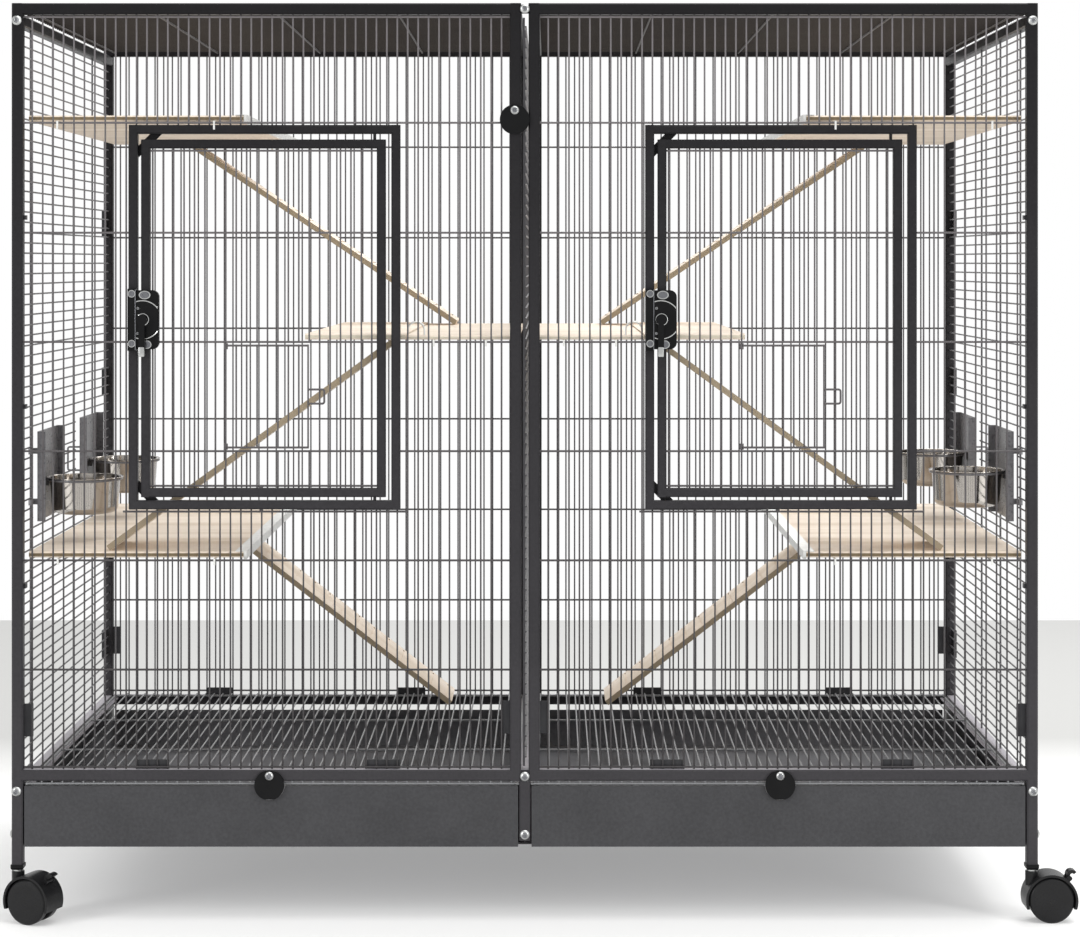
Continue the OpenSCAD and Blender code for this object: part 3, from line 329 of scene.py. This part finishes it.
def wood(name, colours, grain, slope=0.0):
    """Untreated poplar, planed and sawn. The planed faces show long pale grain along the board, the sawn
    front and back edges are rougher and darker. Slope turns the grain along a ramp, and the right half of
    the cage mirrors the left one."""
    material, tree, shader, place = new_finish(name)
    light, dark, edge = colours
    split = put(tree, "ShaderNodeSeparateXYZ", {"Vector": place})
    across = put(tree, "ShaderNodeMath", {0: split.outputs["X"]}, operation="ABSOLUTE")
    folded = put(tree, "ShaderNodeCombineXYZ", {"X": across.outputs[0], "Y": split.outputs["Y"],
                                                "Z": split.outputs["Z"]})
    turned = put(tree, "ShaderNodeMapping", {"Vector": folded.outputs[0], "Rotation": (0, slope, 0)})
    laid = put(tree, "ShaderNodeMapping", {"Vector": turned.outputs[0], "Scale": (0.06, 1, 1)})
    lines = put(tree, "ShaderNodeTexNoise", {"Vector": laid.outputs[0], "Scale": 1 / grain, "Detail": 5,
                                             "Roughness": 0.65, "Distortion": 0.4})
    bands = put(tree, "ShaderNodeTexNoise", {"Vector": laid.outputs[0], "Scale": 1 / 0.045, "Detail": 2})
    both = put(tree, "ShaderNodeMath", {0: lines.outputs["Fac"], 1: 0.65, 2: bands.outputs["Fac"]},
               operation="MULTIPLY_ADD")
    amount = put(tree, "ShaderNodeMapRange", {"Value": both.outputs[0], "From Min": 0.62, "From Max": 1.05})
    face = put(tree, "ShaderNodeMix", {0: amount.outputs["Result"], 6: light, 7: dark}, data_type="RGBA")
    facing = put(tree, "ShaderNodeNewGeometry").outputs["Normal"]
    side = put(tree, "ShaderNodeSeparateXYZ", {"Vector": facing})
    upright = put(tree, "ShaderNodeMath", {0: side.outputs["Y"]}, operation="ABSOLUTE")
    is_edge = put(tree, "ShaderNodeMapRange", {"Value": upright.outputs[0],
                                               "From Min": 0.75, "From Max": 0.95})
    paint = put(tree, "ShaderNodeMix", {0: is_edge.outputs["Result"], 6: face.outputs[2], 7: edge},
                data_type="RGBA")
    relief = put(tree, "ShaderNodeBump", {"Height": lines.outputs["Fac"],
                                          "Strength": 0.3, "Distance": 0.0004})
    gloss = put(tree, "ShaderNodeMapRange", {"Value": lines.outputs["Fac"], "To Min": 0.6, "To Max": 0.8})
    shader.inputs["Specular IOR Level"].default_value = 0.3
    wire_up(tree, shader, Base_Color=paint.outputs[2], Roughness=gloss.outputs["Result"],
            Normal=relief.outputs["Normal"])
    return material


def finish(name):
    """The material of that name, made when it is first asked for."""
    if name in bpy.data.materials:
        return bpy.data.materials[name]
    f = bpy.context.scene.cage_finishes
    faces = (tuple(f.board), tuple(f.board_dark))
    shelf, middle, ramp = (faces + (tuple(edge),) for edge in (f.shelf_edge_and_shade, f.middle_edge, f.ramp_edge))
    makers = {
        # The tubes are painted lighter at the foot and darker at the roof, and the lowest rails get a painted
        # highlight on their tops: painted light and shade.
        "powder_coated_tube": lambda: powder_coat(name, f.tube, f.hammer, bump=0.0002, rough=0.34,
                                                  specular=0.08, low=1.55, high=0.4, painted_light=rail_top_highlight),
        # The front wires are painted up to four times lighter towards the roof: a painted highlight where
        # they stand before the dark roof.
        "powder_coated_wire": lambda: powder_coat(name, f.wire, f.hammer, bump=0.0001, rough=0.34,
                                                  specular=0.3, high=4.0),
        # A lighter copy of the wire coat: painted light on the side and back wires, which stand in the light
        # from behind.
        "painted_backlight_wire": lambda: powder_coat(name, f.painted_backlight_tint, f.hammer, bump=0.0001, rough=0.36,
                                            specular=0.5),
        # A darker, browner copy of the wire coat: painted shade on the roof's wires, whose undersides are in
        # shade.
        "painted_shade_roof_coat": lambda: powder_coat(name, f.shaded_roof_tint, f.hammer, bump=0.0001, rough=0.45,
                                                  specular=0.2),
        "coated_grid_wire": lambda: powder_coat(name, f.grid, f.hammer, bump=0.0001, rough=0.32,
                                                specular=0.6),
        # The trays' insides are painted lighter, most on their floors: painted light reaching in from above.
        "powder_coated_sheet": lambda: powder_coat(name, f.sheet, f.hammer, bump=0.0003, rough=0.45,
                                                   specular=0.18, mottling=0.16, painted_light=tray_painted_light),
        "feeder_sheet": lambda: powder_coat(name, f.plate, f.hammer, bump=0.0002, rough=0.3, specular=0.6,
                                            mottling=0.3),
        "spun_stainless": lambda: spun_metal(name, f.steel, f.spin),
        "poplar_board": lambda: wood(name, shelf, f.grain),
        "poplar_board_middle": lambda: wood(name, middle, f.grain),
        "ramp_board_back": lambda: wood(name, ramp, f.grain, slope=RAMP_SLOPE),
        "ramp_board_front": lambda: wood(name, ramp, f.grain, slope=-RAMP_SLOPE),
        "bright_zinc": lambda: metal(name, f.zinc, f.streak, rough=0.28, relief_height=0.00005),
        "white_zinc": lambda: metal(name, f.white_zinc, f.streak, rough=0.4, relief_height=0.00005),
        "polished_trim": lambda: metal(name, f.zinc, f.streak, rough=0.16, relief_height=0.00002),
        "dull_zinc": lambda: metal(name, f.dull_zinc, f.streak, rough=0.3, relief_height=0.00005),
        "moulded_nylon": lambda: moulded(name, f.nylon, f.grit, rough=0.34, specular=0.13),
        "clip_plastic": lambda: moulded(name, f.clip, f.grit, rough=0.4, specular=0.16),
        "caster_plastic": lambda: moulded(name, f.caster, f.grit, rough=0.3, specular=0.22),
    }
    return makers[name]()


def dress(*finish_names):
    """Puts finishes in the material slots of the CAD nodes that carry them."""
    for name in finish_names:
        for node in FINISH_OF[name]:
            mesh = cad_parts[node].data
            mesh.materials.clear()
            mesh.materials.append(finish(name))


def fresh():
    """Leaves edit mode and selects nothing."""
    if bpy.context.object and bpy.context.object.mode != "OBJECT":
        bpy.ops.object.mode_set(mode="OBJECT")
    bpy.ops.object.select_all(action="DESELECT")


def settle(name, finishes, body):
    """Names the active piece, puts its place in its mesh, and gives it its finishes and its body."""
    piece = bpy.context.object
    piece.name = piece.data.name = name
    bpy.ops.object.transform_apply(location=True, rotation=True, scale=True)
    bpy.ops.object.shade_smooth_by_angle(angle=SMOOTH_ANGLE)
    for material in finishes:
        piece.data.materials.append(finish(material))
    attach(piece, body)


def spread(finishes, copies):
    """Copies the active piece, which is modelled at the origin, and deletes it. Each copy gets its own mesh,
    and its row gives its name, body and place, and where it needs them its scale and its turn about Z."""
    pattern = bpy.context.object
    usual = [(1, 1, 1), 0.0]
    for name, body, place, *rest in copies:
        fresh()
        pattern.select_set(True)
        bpy.context.view_layer.objects.active = pattern
        bpy.ops.object.duplicate()
        piece = bpy.context.object
        piece.location = place
        piece.scale, piece.rotation_euler.z = rest + usual[len(rest):]
        settle(name, finishes, body)
    fresh()
    pattern.select_set(True)
    bpy.ops.object.delete()


def start_block(width, depth, height):
    """A block of that size at the origin, in edit mode and selected all over."""
    fresh()
    bpy.ops.mesh.primitive_cube_add(size=1)
    bpy.ops.transform.resize(value=(width, depth, height))
    bpy.ops.object.transform_apply(scale=True)
    bpy.ops.object.mode_set(mode="EDIT")
    bpy.ops.mesh.select_all(action="SELECT")


def select_faces(test):
    """In edit mode, selects the faces that the test on their normal picks."""
    mesh = bpy.context.object.data
    shape = bmesh.from_edit_mesh(mesh)
    bpy.context.tool_settings.mesh_select_mode = (False, False, True)
    for part in (shape.verts, shape.edges, shape.faces):
        for item in part:
            item.select = False
    for face in shape.faces:
        if test(face.normal):
            face.select_set(True)
    shape.select_flush_mode()
    bmesh.update_edit_mesh(mesh)


class CAGE_OT_coat_steel(bpy.types.Operator):
    """Powder coats tubes, wires, grids, trays and feeding hatches"""
    bl_idname = "cage.coat_steel"
    bl_label = "Coat the steel"

    def execute(self, context):
        dress("powder_coated_tube", "powder_coated_wire", "painted_backlight_wire", "painted_shade_roof_coat",
              "coated_grid_wire", "powder_coated_sheet", "feeder_sheet")
        return {"FINISHED"}


class CAGE_OT_finish_boards(bpy.types.Operator):
    """Gives shelves and ramps their grain and sawn edges"""
    bl_idname = "cage.finish_boards"
    bl_label = "Finish the boards"

    def execute(self, context):
        dress("poplar_board", "poplar_board_middle", "ramp_board_back", "ramp_board_front")
        return {"FINISHED"}


class CAGE_OT_finish_fittings(bpy.types.Operator):
    """Gives bowls, screws, strips, locks, clips and casters their metal and plastic"""
    bl_idname = "cage.finish_fittings"
    bl_label = "Finish the fittings"

    def execute(self, context):
        dress("spun_stainless", "bright_zinc", "white_zinc", "moulded_nylon",
              "clip_plastic", "caster_plastic")
        return {"FINISHED"}


class CAGE_OT_trim_locks(bpy.types.Operator):
    """Puts the bright rims, rimmed screws and lever tips on the locks"""
    bl_idname = "cage.trim_locks"
    bl_label = "Trim the locks"

    def execute(self, context):
        self.case_rims()
        self.boss_highlight_rings()
        self.rimmed_screws()
        self.edge_strips()
        self.lever_tips()
        return {"FINISHED"}

    def case_rims(self):
        """Bright wire in the round edge of the case, cut off at the case's sides."""
        fresh()
        bpy.ops.mesh.primitive_torus_add(major_radius=0.0256, minor_radius=0.0009, major_segments=64,
                                         minor_segments=8, rotation=(math.pi / 2, 0, 0))
        bpy.ops.object.transform_apply(rotation=True)
        bpy.ops.object.mode_set(mode="EDIT")
        for offset, direction in ((-0.0083, 1), (0.0203, -1)):
            bpy.ops.mesh.select_all(action="SELECT")
            bpy.ops.mesh.bisect(plane_co=(offset, 0, 0), plane_no=(direction, 0, 0), use_fill=True,
                                clear_inner=True)
        spread(("polished_trim",),
               [(f"case_rim_{side}", f"door_{side}", (x, CASE_STEP + 0.0002, LOCK_Z))
                for side, x in SPINDLES.items()])

    def boss_highlight_rings(self):
        """Bright ring beside the lever's boss: a painted highlight, the crescent of light on the boss's edge.
        """
        fresh()
        bpy.ops.mesh.primitive_torus_add(major_radius=0.0074, minor_radius=0.0011, major_segments=40,
                                         minor_segments=8, rotation=(math.pi / 2, 0, 0))
        spread(("polished_trim",),
               [(f"boss_rim_{side}", f"lock_lever_{side}", (x + 0.001, -0.3462, LOCK_Z + 0.0004))
                for side, x in SPINDLES.items()])

    def rimmed_screws(self):
        """Dark screw heads with a bright raised rim and a sunk socket, some of them stretched sideways."""
        radius = 0.005
        fresh()
        bpy.ops.mesh.primitive_cylinder_add(vertices=32, radius=radius, depth=0.002, location=(0, -0.0008, 0),
                                            rotation=(math.pi / 2, 0, 0))
        bpy.ops.object.transform_apply(location=True, rotation=True)
        piece = bpy.context.object
        bpy.ops.object.mode_set(mode="EDIT")
        select_faces(lambda normal: normal.y < -0.9)
        bpy.ops.mesh.inset(thickness=0.2 * radius)
        bpy.ops.mesh.extrude_region_move(TRANSFORM_OT_translate={"value": (0, 0.0006, 0)})
        bpy.ops.mesh.inset(thickness=0.16 * radius)
        bpy.ops.mesh.extrude_region_move(TRANSFORM_OT_translate={"value": (0, -0.0008, 0)})
        bpy.ops.mesh.inset(thickness=0.22 * radius)
        bpy.ops.mesh.extrude_region_move(TRANSFORM_OT_translate={"value": (0, 0.0008, 0)})
        bpy.ops.object.mode_set(mode="OBJECT")
        for face in piece.data.polygons:
            inside = math.hypot(face.center.x, face.center.z) < 0.78 * radius
            face.material_index = int(inside and face.center.y < 0)
        copies = []
        for side, x in SPINDLES.items():
            for label, body, dx, dz, front, wide, tall in (
                    ("strike_top", "cage", -0.0143, 0.0348, STRIKE_FACE, 1.0, 1.0),
                    ("strike_low", "cage", -0.0143, -0.0318, STRIKE_FACE, 1.0, 1.0),
                    ("case_top", f"door_{side}", 0.0028, 0.0331, CASE_FACE, 1.57, 1.12),
                    ("case_low", f"door_{side}", 0.0058, -0.0332, CASE_FACE, 1.23, 1.12),
                    ("case_pin", f"door_{side}", -0.0058, 0.0154, CASE_STEP, 0.34, 0.34),
                    ("case_rivet", f"door_{side}", -0.0062, -0.0182, CASE_STEP, 0.34, 0.34)):
                copies.append((f"screw_{label}_{side}", body, (x + dx, front, LOCK_Z + dz), (wide, 1, tall)))
        spread(("bright_zinc", "dull_zinc"), copies)

    def edge_strips(self):
        """Bright zinc lip between the strike and the case, as tall as the strike."""
        start_block(0.0011, 0.0022, 0.081)
        bpy.ops.mesh.bevel(offset=0.0003, segments=2, affect="EDGES")
        spread(("dull_zinc",),
               [(f"strike_lip_{side}", "cage", (x - 0.0094, -0.344, LOCK_Z)) for side, x in SPINDLES.items()])

    def lever_tips(self):
        """Bright cap over the end of the lever."""
        start_block(0.0078, 0.0058, 0.0132)
        bpy.ops.mesh.bevel(offset=0.0012, segments=2, affect="EDGES")
        spread(("bright_zinc",),
               [(f"lever_tip_{side}", f"lock_lever_{side}", (x - 0.0002, -0.3493, LOCK_Z - 0.0427))
                for side, x in SPINDLES.items()])


class CAGE_OT_add_stem_collars(bpy.types.Operator):
    """Puts a zinc washer on each caster's stem"""
    bl_idname = "cage.add_stem_collars"
    bl_label = "Add the stem collars"

    def execute(self, context):
        fresh()
        bpy.ops.mesh.primitive_cylinder_add(vertices=32, radius=0.0065, depth=0.0018)
        bpy.ops.object.mode_set(mode="EDIT")
        select_faces(lambda normal: abs(normal.z) > 0.9)
        bpy.ops.mesh.inset(thickness=0.0006)
        bpy.ops.mesh.bevel(offset=0.0003, segments=2, affect="EDGES")
        spread(("bright_zinc",),
               [(f"stem_collar_{end}_{side}", "cage", (way * STEM_X, y, COLLAR_Z))
                for end, y in (("front", -STEM_Y), ("back", STEM_Y)) for side, way in SIDES.items()])
        return {"FINISHED"}


class CAGE_OT_sink_sockets(bpy.types.Operator):
    """Puts the sockets in the screw heads at the front and the back"""
    bl_idname = "cage.sink_sockets"
    bl_label = "Sink the screw sockets"

    def execute(self, context):
        self.socket()
        unscaled = (1, 1, 1)
        places = [((x, -HEAD_FACE, z), unscaled, 0) for x, z in SCREWS]
        places += [((x, PIVOT_FACE, z), unscaled, 0) for x, z in DISC_SCREWS]
        places += [((x, HEAD_FACE, z), unscaled, math.pi) for x, z in SCREWS]
        spread(("dull_zinc",),
               [(f"screw_socket_{number:02d}", "cage", *place) for number, place in enumerate(places)])
        return {"FINISHED"}

    def socket(self):
        """One socket facing -Y at the origin: a ring pressed into the head round a sunk middle."""
        fresh()
        bpy.ops.mesh.primitive_cylinder_add(vertices=24, radius=0.0037, depth=0.0006,
                                            rotation=(math.pi / 2, 0, 0))
        bpy.ops.object.transform_apply(rotation=True)
        bpy.ops.object.mode_set(mode="EDIT")
        select_faces(lambda normal: normal.y < -0.9)
        bpy.ops.mesh.inset(thickness=0.0005)
        bpy.ops.mesh.inset(thickness=0.0008, depth=-0.0004)
        bpy.ops.mesh.inset(thickness=0.0004, depth=0.0004)
        bpy.ops.mesh.inset(thickness=0.0003, depth=-0.0005)


class CAGE_OT_add_tray_hems(bpy.types.Operator):
    """Folds a hem on the back wall of each tray"""
    bl_idname = "cage.add_tray_hems"
    bl_label = "Add the tray hems"

    def execute(self, context):
        start_block(TRAY_W, 0.0028, 0.0115)
        select_faces(lambda normal: normal.z > 0.9)
        bpy.ops.mesh.bevel(offset=0.001, segments=3, affect="EDGES")
        spread(("powder_coated_sheet",),
               [(f"tray_hem_{side}", f"tray_{side}", (way * TRAY_X, TRAY_BACK - 0.0015, HEM_Z))
                for side, way in SIDES.items()])
        return {"FINISHED"}


class CAGE_OT_add_post_clips(bpy.types.Operator):
    """Puts the low panel clips beside the middle posts and the back corner posts"""
    bl_idname = "cage.add_post_clips"
    bl_label = "Add the post clips"

    def execute(self, context):
        start_block(0.012, 0.0025, 0.044)
        bpy.ops.mesh.bevel(offset=0.0004, segments=2, affect="EDGES")
        select_faces(lambda normal: abs(normal.y) > 0.99)
        bpy.ops.mesh.inset(thickness=0.0018, depth=-0.0005)
        spread(("clip_plastic",),
               [(f"post_clip_{place}_{side}", "cage", (way * x, y, CLIP_Z))
                for side, way in SIDES.items() for place, x, y in CLIP_PLACES])
        return {"FINISHED"}


class CAGE_OT_set_stage(bpy.types.Operator):
    """Lays the floor, hangs the lights and sets up the camera"""
    bl_idname = "cage.set_stage"
    bl_label = "Set the stage"

    def execute(self, context):
        studio = context.scene.cage_studio
        self.lay_floor(studio)
        self.hang_lights(context, studio)
        self.set_camera(context, studio)
        context.scene.view_settings.view_transform = "Standard"
        return {"FINISHED"}

    def lay_floor(self, studio):
        fresh()
        bpy.ops.mesh.primitive_plane_add(size=1, location=(0, (studio.floor_back - studio.floor_front) / 2,
                                                           FLOOR_DROP))
        floor = bpy.context.object
        floor.name = floor.data.name = "floor"
        bpy.ops.transform.resize(value=(studio.floor_width, studio.floor_back + studio.floor_front, 1))
        bpy.ops.object.transform_apply(location=True, scale=True)
        material, tree, shader, place = new_finish("pale_floor")
        near = put(tree, "ShaderNodeSeparateXYZ", {"Vector": place})
        back = put(tree, "ShaderNodeMapRange", {"Value": near.outputs["Y"],
                                                "From Min": 0.35, "From Max": 0.9})
        grit = put(tree, "ShaderNodeTexNoise", {"Vector": place, "Scale": 1 / 0.02, "Detail": 3})
        gloss = put(tree, "ShaderNodeMapRange", {"Value": grit.outputs["Fac"], "To Min": 0.75, "To Max": 0.9})
        paint = put(tree, "ShaderNodeMix", {0: back.outputs["Result"], 6: tuple(studio.floor_near),
                                            7: tuple(studio.floor_far)}, data_type="RGBA")
        wire_up(tree, shader, Roughness=gloss.outputs["Result"], Base_Color=paint.outputs[2])
        shader.inputs["Specular IOR Level"].default_value = 0.1
        # The floor glows: painted light that lifts the shadow under the cage.
        shader.inputs["Emission Color"].default_value = linear("#ffffff")
        shader.inputs["Emission Strength"].default_value = studio.floor_glow
        floor.data.materials.append(material)

    def hang_lights(self, context, studio):
        world = bpy.data.worlds.new("studio")
        context.scene.world = world
        world.use_nodes = True
        tree = world.node_tree
        tree.nodes.clear()
        fill = put(tree, "ShaderNodeBackground", {"Color": (1, 1, 1, 1), "Strength": studio.world})
        seen = put(tree, "ShaderNodeBackground", {"Color": (1, 1, 1, 1), "Strength": 1.0})
        ray = put(tree, "ShaderNodeLightPath")
        both = put(tree, "ShaderNodeMixShader", {0: ray.outputs["Is Camera Ray"], 1: fill.outputs[0],
                                                 2: seen.outputs[0]})
        put(tree, "ShaderNodeOutputWorld", {"Surface": both.outputs[0]})
        # name, power, width and height, place, and the point that it faces, in metres
        for name, power, size, place, aim in (
                ("top_light", studio.top, (3.0, 2.6), (0.7, -0.2, 3.2), (0.1, 0, 0)),
                ("back_light", studio.back, (2.6, 0.8), (0.9, 2.2, 2.7), (0.1, 0, 0.4)),
                ("left_light", studio.side, (0.6, 2.4), (-2.6, -2.0, 1.4), (0, 0, 0.6)),
                ("right_light", studio.side, (0.6, 2.4), (2.6, -2.0, 1.4), (0, 0, 0.6))):
            fresh()
            bpy.ops.object.light_add(type="AREA", location=place)
            lamp = bpy.context.object
            lamp.name = lamp.data.name = name
            lamp.data.shape = "RECTANGLE"
            lamp.data.size, lamp.data.size_y = size
            lamp.data.energy = power
            lamp.rotation_euler = (Vector(aim) - Vector(place)).to_track_quat("-Z", "Y").to_euler()

    def set_camera(self, context, studio):
        fresh()
        bpy.ops.object.camera_add(location=(studio.camera_side, FRONT - studio.camera_distance,
                                            studio.camera_height), rotation=(math.pi / 2, 0, 0))
        camera = bpy.context.object
        camera.name = camera.data.name = "studio_camera"
        camera.data.sensor_width = SENSOR_WIDTH
        camera.data.lens = studio.lens
        camera.data.shift_x, camera.data.shift_y = CAMERA_SHIFT
        context.scene.camera = camera


class CAGE_PT_dressing(bpy.types.Panel):
    """Lists the cage's operators and finishes"""
    bl_idname = "CAGE_PT_dressing"
    bl_label = "Cage"
    bl_space_type = "VIEW_3D"
    bl_region_type = "UI"
    bl_category = "Cage"

    def draw(self, context):
        for operator in OPERATORS:
            self.layout.operator(operator.bl_idname)
        for group in (context.scene.cage_finishes, context.scene.cage_studio):
            for name in group.__annotations__:
                self.layout.prop(group, name)


OPERATORS = (CAGE_OT_coat_steel, CAGE_OT_finish_boards, CAGE_OT_finish_fittings, CAGE_OT_trim_locks,
             CAGE_OT_add_stem_collars, CAGE_OT_sink_sockets, CAGE_OT_add_tray_hems, CAGE_OT_add_post_clips,
             CAGE_OT_set_stage)
CLASSES = (CageFinishes, CageStudio) + OPERATORS + (CAGE_PT_dressing,)


def register():
    for cls in CLASSES:
        bpy.utils.register_class(cls)
    bpy.types.Scene.cage_finishes = PointerProperty(type=CageFinishes)
    bpy.types.Scene.cage_studio = PointerProperty(type=CageStudio)


def unregister():
    del bpy.types.Scene.cage_studio
    del bpy.types.Scene.cage_finishes
    for cls in reversed(CLASSES):
        bpy.utils.unregister_class(cls)


def main():
    register()
    bpy.ops.cage.coat_steel()
    bpy.ops.cage.finish_boards()
    bpy.ops.cage.finish_fittings()
    bpy.ops.cage.trim_locks()
    bpy.ops.cage.add_stem_collars()
    bpy.ops.cage.sink_sockets()
    bpy.ops.cage.add_tray_hems()
    bpy.ops.cage.add_post_clips()
    bpy.ops.cage.set_stage()


if __name__ == "__main__":
    main()
